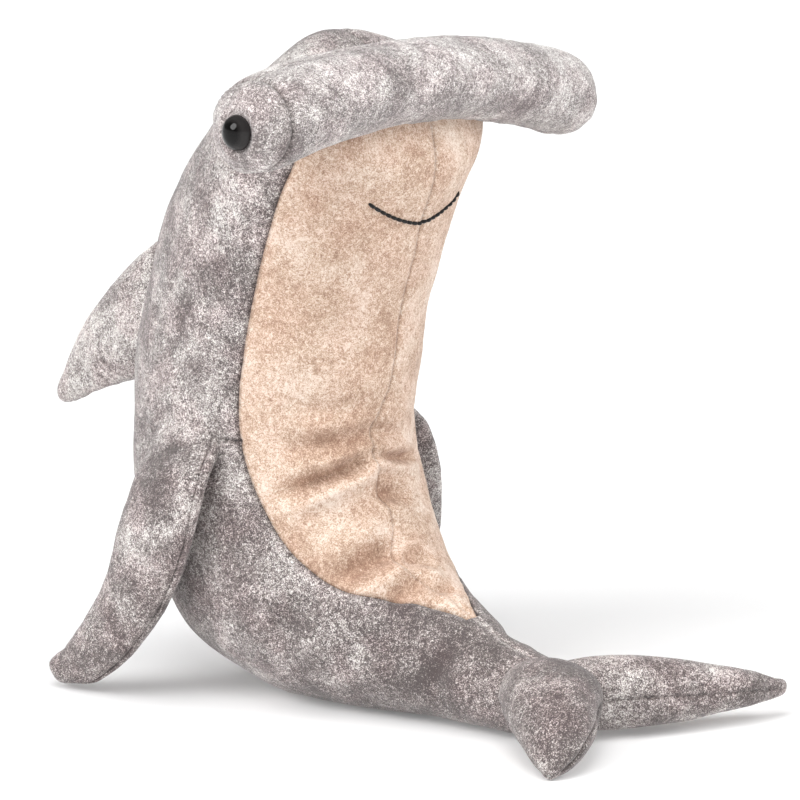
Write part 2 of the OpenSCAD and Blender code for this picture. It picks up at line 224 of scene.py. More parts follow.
pale_plush = plush("pale_grey_plush", PALE_STOPS, tint=(1.0, 0.90, 0.92), patch=42.0, crush=150.0,
                   weights=(0.80, 0.50, 1.15, 1.10), sheen=0.30, bump=0.55)
cream_plush = plush("cream_plush", CREAM_STOPS, tint=(1.0, 0.93, 0.92), patch=30.0, crush=120.0,
                    weights=(0.55, 0.45, 0.90, 0.60), sheen=0.20, bump=0.35)


def fibre_material():
    """Loose polyester filling, with strands."""
    s = Shader("filling_fibre")
    rest = s.attribute("rest", "Vector")
    strands = s.noise(rest, 500.0, 6.0, 0.7, 2.5)
    s.set("Base Color", s.ramp(strands, [(0.3, (0.66, 0.66, 0.64)), (0.7, (0.93, 0.93, 0.91))]))
    s.bump(strands, 0.8, 0.002)
    s.set("Roughness", 0.95)
    return s.material


def thread_material(name, colour):
    """Twisted thread, by rings that run aslant along it, with a painted highlight on the paler part of each
    ring.
    """
    s = Shader(name)
    rest = s.attribute("rest", "Vector")
    wave = s.add("TexWave", {"wave_type": "BANDS", "bands_direction": "DIAGONAL"}, Vector=rest, Scale=420.0,
                 Distortion=1.0)
    twist = wave.outputs["Fac"]
    # The paler colour is a painted highlight on the twists
    paler = tuple(2.4 * c + 0.004 for c in colour)
    s.set("Base Color", s.ramp(twist, [(0.2, colour), (0.9, paler)]))
    s.bump(twist, 0.6, 0.0003)
    s.set("Roughness", 0.6)
    return s.material


def plastic_material(name, inner, outer, roughness, coat):
    """Moulded plastic with faint scuffs, and a tone that changes towards the rim."""
    s = Shader(name)
    rest = s.attribute("rest", "Vector")
    radius = s.attribute("seam")
    scuffs = s.noise(rest, 900.0, 5.0, 0.7, 0.5)
    s.set("Base Color", s.ramp(radius, [(0.55, inner), (0.80, outer)]))
    s.set("Roughness", s.math("MULTIPLY_ADD", scuffs, 0.10, roughness - 0.05, clamp=True))
    s.set("Specular IOR Level", 0.2)
    s.set("Coat Weight", coat)
    s.set("Coat Roughness", 0.04)
    return s.material


filling_fibre = fibre_material()
black_thread = thread_material("mouth_thread", (0.003, 0.003, 0.003))
eye_plastic = plastic_material("eye_plastic", (0.0035, 0.0030, 0.0030), (0.022, 0.020, 0.020),
                               roughness=0.07, coat=0.05)
washer_plastic = plastic_material("washer_plastic", (0.75, 0.75, 0.72), (0.80, 0.80, 0.77),
                                  roughness=0.45, coat=0.1)


def floor_material():
    """The studio's near-white floor."""
    s = Shader("floor")
    place = s.add("NewGeometry").outputs["Position"]
    tone = s.ramp(s.noise(place, 1.5, 2.0), [(0.3, (0.835, 0.835, 0.84)), (0.7, (0.85, 0.85, 0.85))])
    s.set("Base Color", tone)
    s.set("Roughness", 0.85)
    s.set("Emission Color", (1.0, 1.0, 1.0, 1.0))
    s.set("Emission Strength", 0.15)
    return s.material


floor_mesh = bpy.data.meshes.new("floor")
FLOOR_HALF = 8
floor_corners = [(x * FLOOR_HALF, y * FLOOR_HALF, 0) for x, y in ((-1, -1), (1, -1), (1, 1), (-1, 1))]
floor_mesh.from_pydata(floor_corners, [], [(0, 1, 2, 3)])
floor = add_object("floor", floor_mesh)
floor_mesh.materials.append(floor_material())

# -------- curves, noise and grids
rng = np.random.default_rng(7)
CELLS = 64
LATTICE = rng.random((CELLS, CELLS, CELLS))


def noise(points, size, shift=0.0):
    """Smooth noise from -1 to 1 at points in mm, with lumps about size mm across."""
    q = points / size + shift
    cell = np.floor(q).astype(int)
    f = q - cell
    f = f * f * (3 - 2 * f)
    total = 0.0
    for corner in np.ndindex(2, 2, 2):
        w = np.prod(np.where(np.array(corner) == 1, f, 1 - f), axis=-1)
        i, j, k = ((cell[..., n] + corner[n]) % CELLS for n in range(3))
        total = total + w * LATTICE[i, j, k]
    return 2 * total - 1


def lumps(points, layers):
    """Uneven stuffing in mm, out of layers of [height, size, shift] of noise."""
    return sum(height * noise(points, size, shift) for height, size, shift in layers)


def spline(rows, t):
    """The CAD's own curve through rows, at each t."""
    rows, t = np.asarray(rows, float), np.asarray(t, float)
    last = len(rows) - 1
    i = np.clip(np.floor(t), 0, last - 1).astype(int)
    u = (t - i).reshape(t.shape + (1,) * (rows.ndim - 1))
    p0, p1, p2, p3 = (rows[np.clip(i + n, 0, last)] for n in (-1, 0, 1, 2))
    square, cube = 2 * p0 - 5 * p1 + 4 * p2 - p3, 3 * p1 - p0 - 3 * p2 + p3
    return 0.5 * (2 * p1 + (p2 - p0) * u + square * u ** 2 + cube * u ** 3)


def unit(v):
    return v / np.maximum(np.linalg.norm(v, axis=-1, keepdims=True), 1e-9)


def refine(values, factor):
    """A coarse grid's values at factor times as many rows and columns. The columns run right round."""
    rows = spline(values, np.arange((len(values) - 1) * factor + 1) / factor)
    columns = np.moveaxis(rows, 1, 0)
    t = 1 + np.arange(len(columns) * factor) / factor
    columns = np.concatenate([columns[-1:], columns, columns[:2]])
    return np.moveaxis(spline(columns, t), 0, 1)


def normals(points):
    """Unit normals of a grid whose rows run along it and whose columns run right round it."""
    along = np.gradient(points, axis=0)
    around = np.roll(points, -1, axis=1) - np.roll(points, 1, axis=1)
    return unit(np.cross(along, around))


def groove(distance, depth, width, shoulder, reach):
    """How far in a seam pulls the fabric, in mm, at a distance in mm: a groove in a wider hollow."""
    return depth * np.exp(-(distance / width) ** 2) + shoulder * np.exp(-distance / reach)


STITCH, NEEDLE_LINE = 3.0, 0.75   # length of a seam's stitches and half width of their line, in mm


def seam_line(distance, along):
    """Dark of a seam's needle line, with its stitches."""
    stitches = 0.72 + 0.28 * np.sign(np.sin(2 * np.pi * along / STITCH))
    return np.exp(-(distance / NEEDLE_LINE) ** 2) * stitches


def puckers(distance, along, points, size):
    """Short gathers that run out from a seam."""
    wave = noise(np.stack([along, distance * 0.25, 0 * along], -1), 5.0) + 0.5 * noise(points, 4.0)
    return size * wave * np.exp(-distance / 5.0) * np.clip(distance / 1.5, 0, 1)


def add_mesh(name, points, faces, rest, seam, material, flat_faces=0, shade=None):
    """A mesh object from points in mm. Its last flat_faces faces are flat-shaded, shade makes its pile paler
    or darker: painted light and shade in some places, the fabric's own tone in others.
    """
    mesh = bpy.data.meshes.new(name)
    mesh.from_pydata((np.asarray(points) * MM).tolist(), [], [tuple(f) for f in faces])
    smooth = np.ones(len(faces), bool)
    if flat_faces:
        smooth[-flat_faces:] = False
    mesh.polygons.foreach_set("use_smooth", smooth)
    rest = (np.asarray(rest) * MM).astype(np.float32).ravel()
    mesh.attributes.new("rest", "FLOAT_VECTOR", "POINT").data.foreach_set("vector", rest)
    shade = np.zeros(len(points)) if shade is None else shade
    for layer, values in (("seam", seam), ("shade", shade)):
        values = np.asarray(values, np.float32).ravel()
        mesh.attributes.new(layer, "FLOAT", "POINT").data.foreach_set("value", values)
    mesh.materials.append(material)
    mesh.update()
    return add_object(name, mesh)


def grid_faces(rows, columns):
    """Quads of a grid whose rows run along it and whose columns run right round it."""
    j, i = np.meshgrid(np.arange(rows - 1), np.arange(columns), indexing="ij")
    a, b = (j * columns + i).ravel(), (j * columns + (i + 1) % columns).ravel()
    return np.stack([a, b, b + columns, a + columns], 1)


def tube_faces(rows, columns):
    """Faces of a closed tube: its quads, and a fan at each end round a point that comes after the grid's."""
    last = (rows - 1) * columns
    sides = [(k, (k + 1) % columns) for k in range(columns)]
    start = [(rows * columns, after, here) for here, after in sides]
    end = [(rows * columns + 1, last + here, last + after) for here, after in sides]
    return grid_faces(rows, columns).tolist() + start + end


CLOTH_FRAMES = 22
CLOTH = {"quality": 6, "mass": 0.15, "tension_stiffness": 18, "compression_stiffness": 18,
         "shear_stiffness": 6, "bending_stiffness": 0.35, "tension_damping": 12, "compression_damping": 12,
         "shear_damping": 12, "bending_damping": 1.0, "air_damping": 3.0, "vertex_group_mass": "held",
         "pin_stiffness": 4.0, "use_pressure": True}


def settle(name, points, rest, held, pressure, most):
    """Cloth simulation of a stuffed skin's coarse grid, in mm. rest gives the fabric's own lengths and held
    how firmly each point is sewn down. Gives each point's movement, which is never more than most."""
    rows, columns = points.shape[:2]
    faces = grid_faces(rows, columns)
    flat = points.reshape(-1, 3)
    side = np.cross(flat[faces[:, 1]] - flat[faces[:, 0]], flat[faces[:, 3]] - flat[faces[:, 0]])
    if np.sum(side * (flat[faces[:, 0]] - np.repeat(points.mean(1), columns, 0)[faces[:, 0]])) < 0:
        faces = faces[:, ::-1]
    mesh = bpy.data.meshes.new(name)
    mesh.from_pydata((flat * MM).tolist(), [], faces.tolist())
    cloth_object = add_object(name, mesh)
    cloth_object.shape_key_add(name="sewn")
    key = cloth_object.shape_key_add(name="fabric")
    key.data.foreach_set("co", (rest.reshape(-1, 3) * MM).ravel())
    key.value = 0.0
    group = cloth_object.vertex_groups.new(name="held")
    for index, weight in enumerate(held.ravel()):
        if weight > 0:
            group.add([index], float(weight), "REPLACE")
    cloth = cloth_object.modifiers.new("cloth", "CLOTH")
    settings = cloth.settings
    for name, value in CLOTH.items():
        setattr(settings, name, value)
    settings.rest_shape_key = key
    settings.uniform_pressure_force = pressure
    settings.effector_weights.gravity = 0
    cloth.collision_settings.use_collision = False
    cloth.collision_settings.use_self_collision = False
    cloth.point_cache.frame_start, cloth.point_cache.frame_end = 1, CLOTH_FRAMES
    scene = bpy.context.scene
    for number in range(1, CLOTH_FRAMES + 1):
        scene.frame_set(number)
    bpy.context.view_layer.update()
    done = cloth_object.evaluated_get(bpy.context.evaluated_depsgraph_get())
    moved = np.empty(rows * columns * 3, np.float32)
    done.data.vertices.foreach_get("co", moved)
    scene.frame_set(1)
    bpy.data.objects.remove(cloth_object, do_unlink=True)
    move = moved.reshape(points.shape) / MM - points
    length = np.linalg.norm(move, axis=-1, keepdims=True)
    return move * most * np.tanh(length / most) / np.maximum(length, 1e-6)


class Skin:
    """A stuffed surface on a grid, from which panels are cut."""

    def __init__(self, points, rest, seam, shade):
        self.points, self.rest, self.seam, self.shade = points, rest, seam, shade
        self.normals = normals(points)

    def panel(self, name, keep, material, thickness=CLOTH_THICK):
        """The faces in keep, given the fabric's thickness, as one closed piece."""
        quads = grid_faces(*self.points.shape[:2])[np.ravel(keep)]
        points, normal, rest = (grid.reshape(-1, 3) for grid in (self.points, self.normals, self.rest))
        a, b, d = (points[quads[:, n]] for n in (0, 1, 3))
        if np.mean(np.sum(np.cross(b - a, d - a) * normal[quads[:, 0]], axis=1)) < 0:
            quads = quads[:, ::-1]
        used, quads = np.unique(quads, return_inverse=True)
        quads = quads.reshape(-1, 4)
        n = len(used)
        inner = points[used] - thickness * normal[used]
        edges = np.concatenate([quads[:, [m, (m + 1) % 4]] for m in range(4)])
        key = np.sort(edges, axis=1)
        _, first, count = np.unique(key[:, 0] * (n + 1) + key[:, 1], return_index=True, return_counts=True)
        open_edges = edges[first[count == 1]]
        rim = np.stack([open_edges[:, 1], open_edges[:, 0], open_edges[:, 0] + n, open_edges[:, 1] + n], 1)
        faces = np.concatenate([quads, quads[:, ::-1] + n, rim])
        both = np.concatenate([used, used])
        return add_mesh(name, np.concatenate([points[used], inner]), faces.tolist(), rest[both],
                        self.seam.ravel()[both], material, len(rim), self.shade.ravel()[both])


def solid(name, rings, material):
    """A closed solid through rings of points in mm, each end closed by a fan."""
    rings = np.asarray(rings)
    rows, columns = rings.shape[:2]
    points = np.concatenate([rings.reshape(-1, 3), rings[0].mean(0)[None], rings[-1].mean(0)[None]])
    faces = tube_faces(rows, columns)
    v = points[grid_faces(rows, columns)]
    centre = np.repeat(rings.mean(1)[:-1], columns, 0)
    if np.sum(np.cross(v[:, 1] - v[:, 0], v[:, 3] - v[:, 0]) * (v[:, 0] - centre)) < 0:
        faces = [f[::-1] for f in faces]
    return add_mesh(name, points, faces, points, np.zeros(len(points)), material)


# -------- body
# Rings of the body from the crown to the tail:
# [y and z of the belly's middle, y and z of the spine, half width]
BODY = [[-89.5, 264, -90.5, 272, 6], [-82.5, 255, -76, 266, 32], [-85.5, 232, -36, 289, 55],
        [-77.5, 211, -6, 272.5, 58], [-73, 196, 18, 252, 59], [-66, 170, 44, 220, 56.3],
        [-64, 145, 62, 175, 55.5], [-60.5, 121, 70.5, 129, 56], [-62.5, 101, 65.5, 76.5, 59],
        [-69.5, 83, 36.5, 23, 56.5], [-79, 68, -14, 1, 48], [-92.5, 56.5, -57.5, 0, 36],
        [-107.5, 47.5, -92.5, 2, 26], [-125, 39.5, -119, 2.5, 20.5], [-143, 35, -141, 3, 19],
        [-156, 31, -156, 7, 17]]
# Half angle of the belly panels at each ring, and how far their middle seam strays from the middle
BELLY_ANGLE = [75, 75, 74, 71, 68, 67, 68, 66, 58.5, 52.5, 45.5, 27, 7, 0, 0, 0]
BELLY_LEAN = [3, 3, 1, 2, 3, 3, -1, -9, -8, -7, -16, -7, 0, 0, 0, 0]
# Rings, counted from 0, at which the body starts, the neck bends, the waist seam runs, the belly panels end,
# the tail bends and the body ends, then how far each bend reaches to either side
T_CROWN, T_NECK, T_WAIST, T_TIP, T_TAIL, T_END = 0.4, 5.0, 7.15, 12.0, 12.5, 14.75
NECK_REACH, TAIL_REACH = 1.0, 0.5
BODY_COLS, BELLY_COLS = 72, 13   # columns right round, and on each half of the belly
BELLY_SHARE = BELLY_COLS / (BODY_COLS / 2)
ROWS_ABOVE, ROWS_BELOW = 38, 48  # rows above and below the waist seam
FINER = 3                        # rows and columns of the final grid for one of the simulated grid's
CROWN_RING, CROWN_PINCH = 2.2, 0.25   # where the head is narrower behind, and by what share
BODY_LUMPS = [(0.75, 30, 0.0), (0.4, 13, 9.1), (0.14, 6, 3.3)]
# Seams: how deep each pulls the fabric in, how much its surroundings sink, and its gathers, in mm
BODY_SEAMS = {"edge": (1.1, 0.5, 0.5), "belly": (0.6, 0.3, 0.35), "spine": (0.9, 0.5, 0.4),
              "waist": (1.3, 0.9, 0.7)}
WAIST_LOST = ((1.3, 0.3), (2.7, 0.2))   # angles between which the pile hides the waist seam, and their fades


def body_middle(t):
    """The middle of each ring, in mm."""
    r = spline(BODY, t)
    return np.stack([0 * r[..., 0], (r[..., 0] + r[..., 2]) / 2, (r[..., 1] + r[..., 3]) / 2], -1) + ORIGIN


def body_point(t, angle):
    """A point of the body's surface in mm. Angles are in radians, from the belly's middle towards +X."""
    r = spline(BODY, t)
    reach = np.stack([0 * r[..., 0], r[..., 0] - r[..., 2], r[..., 1] - r[..., 3]], -1) / 2
    pinch = CROWN_PINCH * np.exp(-(t - CROWN_RING) ** 2) * np.clip(-np.cos(angle), 0, 1)
    side = r[..., 4] * np.sin(angle) * (1 - pinch)
    p = body_middle(t) + reach * np.cos(angle)[..., None] + np.stack([side, 0 * side, 0 * side], -1)
    low = p[..., 2]
    ease = FLOOR_EASE - FLOOR_CLEARANCE
    flattened = FLOOR_CLEARANCE + ease * np.exp(np.minimum(low - FLOOR_EASE, 0) / ease)
    p[..., 2] = np.where(low < FLOOR_EASE, flattened, low)
    return p


def body_angles(t, column):
    """The angle of a column from -1 to 1. The belly's seams are the same two columns in every ring."""
    edge = np.radians(np.maximum(spline(BELLY_ANGLE, t), 6))
    lean = np.radians(spline(BELLY_LEAN, t))
    v = np.abs(column)
    inside = edge * v / BELLY_SHARE
    outside = edge + (np.pi - edge) * (v - BELLY_SHARE) / (1 - BELLY_SHARE)
    angle = np.where(v <= BELLY_SHARE, inside, outside) * np.sign(column)
    return angle + lean * np.clip(1 - v / BELLY_SHARE, 0, 1)


def body_grid(finer):
    """Rows and columns of the body's grid, as t and column."""
    above = np.linspace(T_CROWN, T_WAIST, ROWS_ABOVE * finer + 1)
    below = np.linspace(T_WAIST, T_END, ROWS_BELOW * finer + 1)[1:]
    t = np.concatenate([above, below])
    column = -1 + 2 * np.arange(BODY_COLS * finer) / (BODY_COLS * finer)
    return np.meshgrid(t, column, indexing="ij")


# Creases of the belly and flanks: ring and degrees where each starts, the same where it ends, its depth, its
# width, and the height of the fold that stands below it, in mm
CREASES = [
    [(6.95, -9), (7.24, -50), 4.4, 4.4, 2.6], [(7.40, -11), (8.02, -54), 6.2, 3.6, 4.6],
    [(7.40, -9), (7.78, 28), 4.4, 2.3, 2.6], [(8.22, -9), (8.50, 12), 3.4, 3.8, 2.0],
    [(6.93, -9), (7.22, 14), 3.4, 3.6, 1.4], [(9.48, -13), (9.68, -50), 6.4, 5.2, 3.6],
    [(9.84, -11), (10.08, 10), 3.6, 4.2, 1.8], [(10.52, -12), (10.62, -40), 2.8, 3.6, 1.4],
    [(10.80, -7), (11.10, 14), 2.4, 3.0, 1.6], [(6.50, -12), (6.62, -54), 1.8, 5.0, 1.0],
    [(6.10, 6), (6.20, 40), 1.4, 6.0, 0.6], [(9.60, -58), (9.90, -100), 3.6, 7.0, 2.2],
    [(8.60, 90), (9.00, 56), 2.8, 7.0, 1.6], [(8.10, -128), (8.25, -176), 2.4, 7.0, 1.2],
    [(6.90, 150), (6.95, 196), 2.4, 7.0, 1.2], [(12.30, -40), (12.25, -120), 2.0, 5.0, 1.0],
    [(12.60, 30), (12.55, 100), 2.0, 5.0, 1.0], [(3.40, -80), (3.15, -128), 2.4, 6.0, 0.8],
    [(3.40, 80), (3.15, 128), 2.4, 6.0, 0.8]]
# Pieces of a crease's line, and the strength of the painted shade in creases and the painted light on their
# folds
CREASE_STEPS, CREASE_PAINTED_SHADING = 12, 0.036
CREASE_BOW = 0.7                 # below 1, a crease runs down most near its start


def creases(points, t):
    """How far creases and the folds below them move the fabric out, in mm, and the painted shade in each
    crease and painted light on the fold below it.
    """
    out, shade = np.zeros(t.shape), np.zeros(t.shape)
    for start, end, depth, width, fold in CREASES:
        share = np.linspace(0, 1, CREASE_STEPS + 1)
        ring = start[0] + (end[0] - start[0]) * share ** CREASE_BOW
        degrees = start[1] + (end[1] - start[1]) * share
        line = body_point(ring, np.radians(degrees))
        gap, where = np.full(t.shape, 1e9), np.zeros(t.shape)
        for k in range(CREASE_STEPS):
            d = line[k + 1] - line[k]
            u = np.clip(((points - line[k]) @ d) / (d @ d), 0, 1)
            here = np.linalg.norm(points - (line[k] + u[..., None] * d), axis=-1)
            where = np.where(here < gap, (k + u) / CREASE_STEPS, where)
            gap = np.minimum(gap, here)
        below = gap * np.sign(t - (start[0] + (end[0] - start[0]) * where ** CREASE_BOW))
        fade = np.clip(where * 5 + 0.3, 0, 1) * np.clip((1 - where) * 2.4, 0, 1)
        valley = np.exp(-(gap / width) ** 2)
        ridge = np.exp(-((below - 1.9 * width) / (1.2 * width)) ** 2)
        rise = np.exp(-((below + 1.9 * width) / (1.2 * width)) ** 2)
        out += fade * (fold * (ridge + 0.3 * rise) - depth * valley)
        # Painted shade in the crease and painted light on the fold below it
        shade += CREASE_PAINTED_SHADING * fade * (fold * ridge - depth * np.exp(-(gap / (1.6 * width)) ** 2))
    return out, shade


def seam_distances(t, angle, column, points):
    """Distance in mm from each point of the body to each seam, and the ways along the body and round it."""
    radius = np.linalg.norm(points - body_middle(t), axis=-1)
    steps = np.diff(body_middle(t[:, 0]), axis=0, prepend=body_middle(t[:1, 0]))
    along = np.cumsum(np.linalg.norm(steps, axis=1))[:, None] + 0 * t
    waist = np.interp(T_WAIST, t[:, 0], along[:, 0])
    edge_angle = body_angles(t, 0 * t + BELLY_SHARE)
    gaps = {"edge": np.abs(np.abs(angle) - edge_angle) * radius + 1e3 * (t > T_TIP),
            "belly": np.abs(angle - body_angles(t, 0 * t)) * radius,
            "spine": np.abs(np.pi - np.abs(angle)) * radius}
    on_belly = np.abs(column) < BELLY_SHARE - 1e-6
    gaps["waist"] = np.abs(along - waist) + np.where(on_belly, 2 * np.minimum(gaps["edge"], 40), 0)
    (begin, begin_fade), (stop, stop_fade) = WAIST_LOST
    hidden = np.clip((np.abs(angle) - begin) / begin_fade, 0, 1)
    gaps["waist"] += 40 * hidden * np.clip((stop - np.abs(angle)) / stop_fade, 0, 1)
    return gaps, along, angle * radius


def unbent(points, centre, ease):
    """The fabric's own shape: the body bent less, by the share ease at each ring, so the bend has slack."""
    d = np.diff(centre, axis=0)
    heading = np.unwrap(np.arctan2(d[:, 2], d[:, 1]))
    turn = -np.concatenate([[0, 0], np.cumsum(np.diff(heading) * ease[1:-1])])
    turn = np.append(turn, turn[-1])[:len(centre)]

    def rotated(v, angle):
        c, s = np.cos(angle), np.sin(angle)
        return np.stack([v[..., 0], c * v[..., 1] - s * v[..., 2], s * v[..., 1] + c * v[..., 2]], -1)

    new_centre = centre[0] + np.concatenate([np.zeros((1, 3)), np.cumsum(rotated(d, turn[1:]), axis=0)])
    return new_centre[:, None] + rotated(points - centre[:, None], turn[:, None])


t_grid, column_grid = body_grid(FINER)
angle_grid = body_angles(t_grid, column_grid)
body_rest = body_point(t_grid, angle_grid)
gaps, along_body, around_body = seam_distances(t_grid, angle_grid, column_grid, body_rest)
# The second result is painted shade in the creases and painted light on their folds
fold_push, fold_painted_shading = creases(body_rest, t_grid)
push = lumps(body_rest, BODY_LUMPS)
for seam, (depth, shoulder, gather) in BODY_SEAMS.items():
    run = around_body if seam == "waist" else along_body
    push += puckers(gaps[seam], run, body_rest, gather) - groove(gaps[seam], depth, 1.3, shoulder, 7)
body_points = body_rest + push[..., None] * normals(body_rest)

sewn = body_points[::FINER, ::FINER]
coarse_t = t_grid[::FINER, ::FINER]
coarse_gap = {seam: gap[::FINER, ::FINER] for seam, gap in gaps.items()}
slack = 0.16 * np.exp(-((coarse_t[:, 0] - 8.4) / 1.6) ** 2)
fabric = 1.02 * unbent(sewn, body_middle(coarse_t[:, 0]), slack)
sewn_down = [(0.75, coarse_gap["edge"] < 2), (0.85, coarse_gap["waist"] < 3), (0.2, coarse_gap["belly"] < 2),
             (0.4, coarse_gap["spine"] < 2), (1.0, sewn[..., 2] < 1.5), (1.0, coarse_t < 1.6),
             (1.0, coarse_t > 12.9)]
held = np.maximum.reduce([firmness * where for firmness, where in sewn_down])
move = settle("body_cloth", sewn, fabric, held, pressure=2.5, most=7.0)
unfolded = body_points + refine(move, FINER)
body_points = unfolded + fold_push[..., None] * normals(body_rest)
body_points[..., 2] = np.maximum(body_points[..., 2], FLOOR_CLEARANCE)
seam_lines = [seam_line(gaps["edge"], along_body), 0.3 * seam_line(gaps["belly"], along_body),
              0.6 * seam_line(gaps["spine"], along_body), seam_line(gaps["waist"], around_body)]
on_belly = np.abs(column_grid) < BELLY_SHARE - 1e-6
# Pile by place: paler between two folds, painted light on the left half, darker on the lower belly, and
# darker in the lap partly by the fabric's own tone and partly as painted shade
smooth_patch = np.exp(-((t_grid - 8.95) / 0.5) ** 2 - ((np.degrees(angle_grid) + 24) / 18) ** 2)
lower_belly = np.clip((t_grid - 6.4) / 1.0, 0, 1)
lap = np.clip((t_grid - 9.0) / 1.5, 0, 1)
# The left half is painted paler as painted light on the half that faces a lamp; the creases add painted shade
# and light
belly_shade = fold_painted_shading + 0.11 * smooth_patch + 0.03 * (column_grid > 0) - 0.015 * lower_belly
# The lap darkens partly by the grey fabric's own darker patches and partly as painted shade low on the body
grey_shade = 0.6 * fold_painted_shading - 0.115 * lap - 0.02
body_shade = np.where(on_belly, belly_shade, grey_shade)
body_skin = Skin(body_points, body_rest, np.maximum.reduce(seam_lines), body_shade)

row_t = (t_grid[:-1, :1] + t_grid[1:, :1]) / 2
face_col = column_grid[:1] + 1 / (BODY_COLS * FINER)
left = face_col > 0
is_belly = (np.abs(face_col) < BELLY_SHARE) & (row_t < T_TIP)
above_waist = row_t < T_WAIST
neck_low, neck_high = (Vector(body_middle(T_NECK + way * NECK_REACH) * MM) for way in (1, -1))
tail_start, tail_end = (Vector(body_middle(T_TAIL + way * TAIL_REACH) * MM) for way in (-1, 1))
neck, tail = ("head", neck_low, neck_high), ("tail", tail_start, tail_end)
body_panels = [("belly_panel", is_belly, cream_plush, "cream_plush", 0.85, neck, []),
               ("back_panel", ~is_belly & above_waist, grey_plush, "grey_plush", 0.9, neck, []),
               ("flank_panel", ~is_belly & ~above_waist, grey_plush, "grey_plush", 0.9, tail, ["tail_panel"])]
for side, chosen in (("left", left), ("right", ~left)):
    for kind, keep, fabric, slot, fill, (body, low, high), more in body_panels:
        panel = body_skin.panel(f"{kind}_{side}_cloth", keep & chosen, fabric)
        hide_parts(*(f"{name}_{side}" for name in [kind] + more))
        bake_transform(panel)

# The filling keeps under the fabric and its creases, on a coarser grid
FILLING_DEPTH, FILLING_FLOOR, T_FILLING_SPLIT = 4.2, 3.0, 11.9
filling_rows = slice(6, -9, 4)
smooth = normals(body_rest)
smooth = smooth * np.sign(np.sum(smooth * body_skin.normals, axis=-1, keepdims=True))
inner = unfolded + (1.15 * np.minimum(fold_push, 0) - FILLING_DEPTH)[..., None] * smooth
inner[..., 2] = np.maximum(inner[..., 2], FILLING_FLOOR)
coarse = inner[filling_rows, ::4]
split = int(np.searchsorted(t_grid[filling_rows, 0], T_FILLING_SPLIT))
stuffing = solid("body_filling", coarse[:split], filling_fibre)
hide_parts("torso_filling", "head_filling")
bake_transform(stuffing)
stuffing = solid("tail_stuffing", coarse[split:], filling_fibre)
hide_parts("tail_filling")
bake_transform(stuffing)

# -------- hammer
HAMMER_W, HAMMER_D, HAMMER_H = 217, 43, 37   # its size along X, Y and Z, without the eyes
HAMMER_DROOP, HAMMER_SWEEP = 14, 3           # how far its ends hang down and reach back
HAMMER_Y, HAMMER_Z = -80 + ORIGIN[1], 269 + ORIGIN[2]
HAMMER_RADIUS, CAP_SHARE = 19.5, 0.92        # mean radius, and the share of the half width where a cap starts
ROUNDED_RIGHT, ROUNDED_LEFT = (0.84, 4.0), (0.76, 3.0)   # where each end starts to round, and how squarely
HAMMER_LUMPS = [(0.6, 24, 2.2), (0.35, 10, 5.1), (0.12, 5, 1.7)]


def hammer_section(share):
    """Size of the hammer's section along it, 1 at full size. share runs from -1 to 1."""
    ends = zip(ROUNDED_RIGHT, ROUNDED_LEFT)
    start, power = (np.where(np.asarray(share) < 0, right, left) for right, left in ends)
    x = np.clip((np.abs(share) - start) / (1 - start), 0, 1)
    return np.sqrt(np.maximum(1 - x ** power, 0))


def hammer_point(share, angle):
    """A point of the hammer in mm. Its middle is slimmer and its ends are plumper, most of all underneath."""
    q = hammer_section(share)
    plump = np.where(np.cos(angle) < 0, 0.90 + 0.22 * share ** 2, 0.97 + 0.07 * share ** 2)
    return np.stack([HAMMER_W / 2 * share + 0 * angle,
                     HAMMER_Y + HAMMER_SWEEP * share ** 2 + HAMMER_D / 2 * q * np.sin(angle),
                     HAMMER_Z - HAMMER_DROOP * share ** 2 + HAMMER_H / 2 * q * plump * np.cos(angle)], -1)


SPAN_ROWS, CAP_ROWS, HAMMER_COLS = 60, 26, 96
MIDDLE_ROW = SPAN_ROWS + CAP_ROWS
LAST_SECTION = 0.14   # size of the section at which an end's rows stop


def end_shares(end, start, power):
    """Shares along one half of the hammer: even over the span, then ever closer towards the end's middle."""
    q = np.linspace(hammer_section(end * CAP_SHARE), LAST_SECTION, CAP_ROWS + 1)
    cap = start + (1 - start) * (1 - q ** 2) ** (1 / power)
    return end * np.concatenate([np.linspace(0, CAP_SHARE, SPAN_ROWS + 1)[1:], cap[1:]])


share_rows = np.concatenate([end_shares(-1, *ROUNDED_RIGHT)[::-1], [0], end_shares(1, *ROUNDED_LEFT)])
hammer_turns = 2 * np.pi * np.arange(HAMMER_COLS) / HAMMER_COLS
share_grid, hammer_angle = np.meshgrid(share_rows, hammer_turns, indexing="ij")
hammer_rest = hammer_point(share_grid, hammer_angle)
upright = np.cos(hammer_angle)
on_cap = np.abs(share_grid) > CAP_SHARE
around, along_hammer = hammer_angle * HAMMER_RADIUS, HAMMER_W / 2 * share_grid
gap_cap = np.abs(np.abs(share_grid) - CAP_SHARE) * HAMMER_W / 2 * 1.12
turn = np.minimum(np.abs(np.sin(hammer_angle / 2)), np.abs(np.cos(hammer_angle / 2))) * 2 * HAMMER_RADIUS
gap_span = np.where(np.abs(share_grid) < CAP_SHARE, turn, 60.0)
push = -groove(gap_cap, 1.0, 1.2, 0.7, 6) - groove(gap_span, 0.7, 1.2, 0.4, 5)
push += lumps(hammer_rest, HAMMER_LUMPS)
push += puckers(gap_cap, around, hammer_rest, 0.7) + puckers(gap_span, along_hammer, hammer_rest, 0.35)
middle_fold = np.exp(-((share_grid * 112 + 18 * np.sin(2 * hammer_angle)) / 9) ** 2)
push -= 0.9 * middle_fold * np.clip(np.cos(hammer_angle - 0.5), 0, 1)
section = hammer_section(share_grid)
eye_gap = np.hypot(HAMMER_H / 2 * section * upright, HAMMER_D / 2 * section * np.sin(hammer_angle))
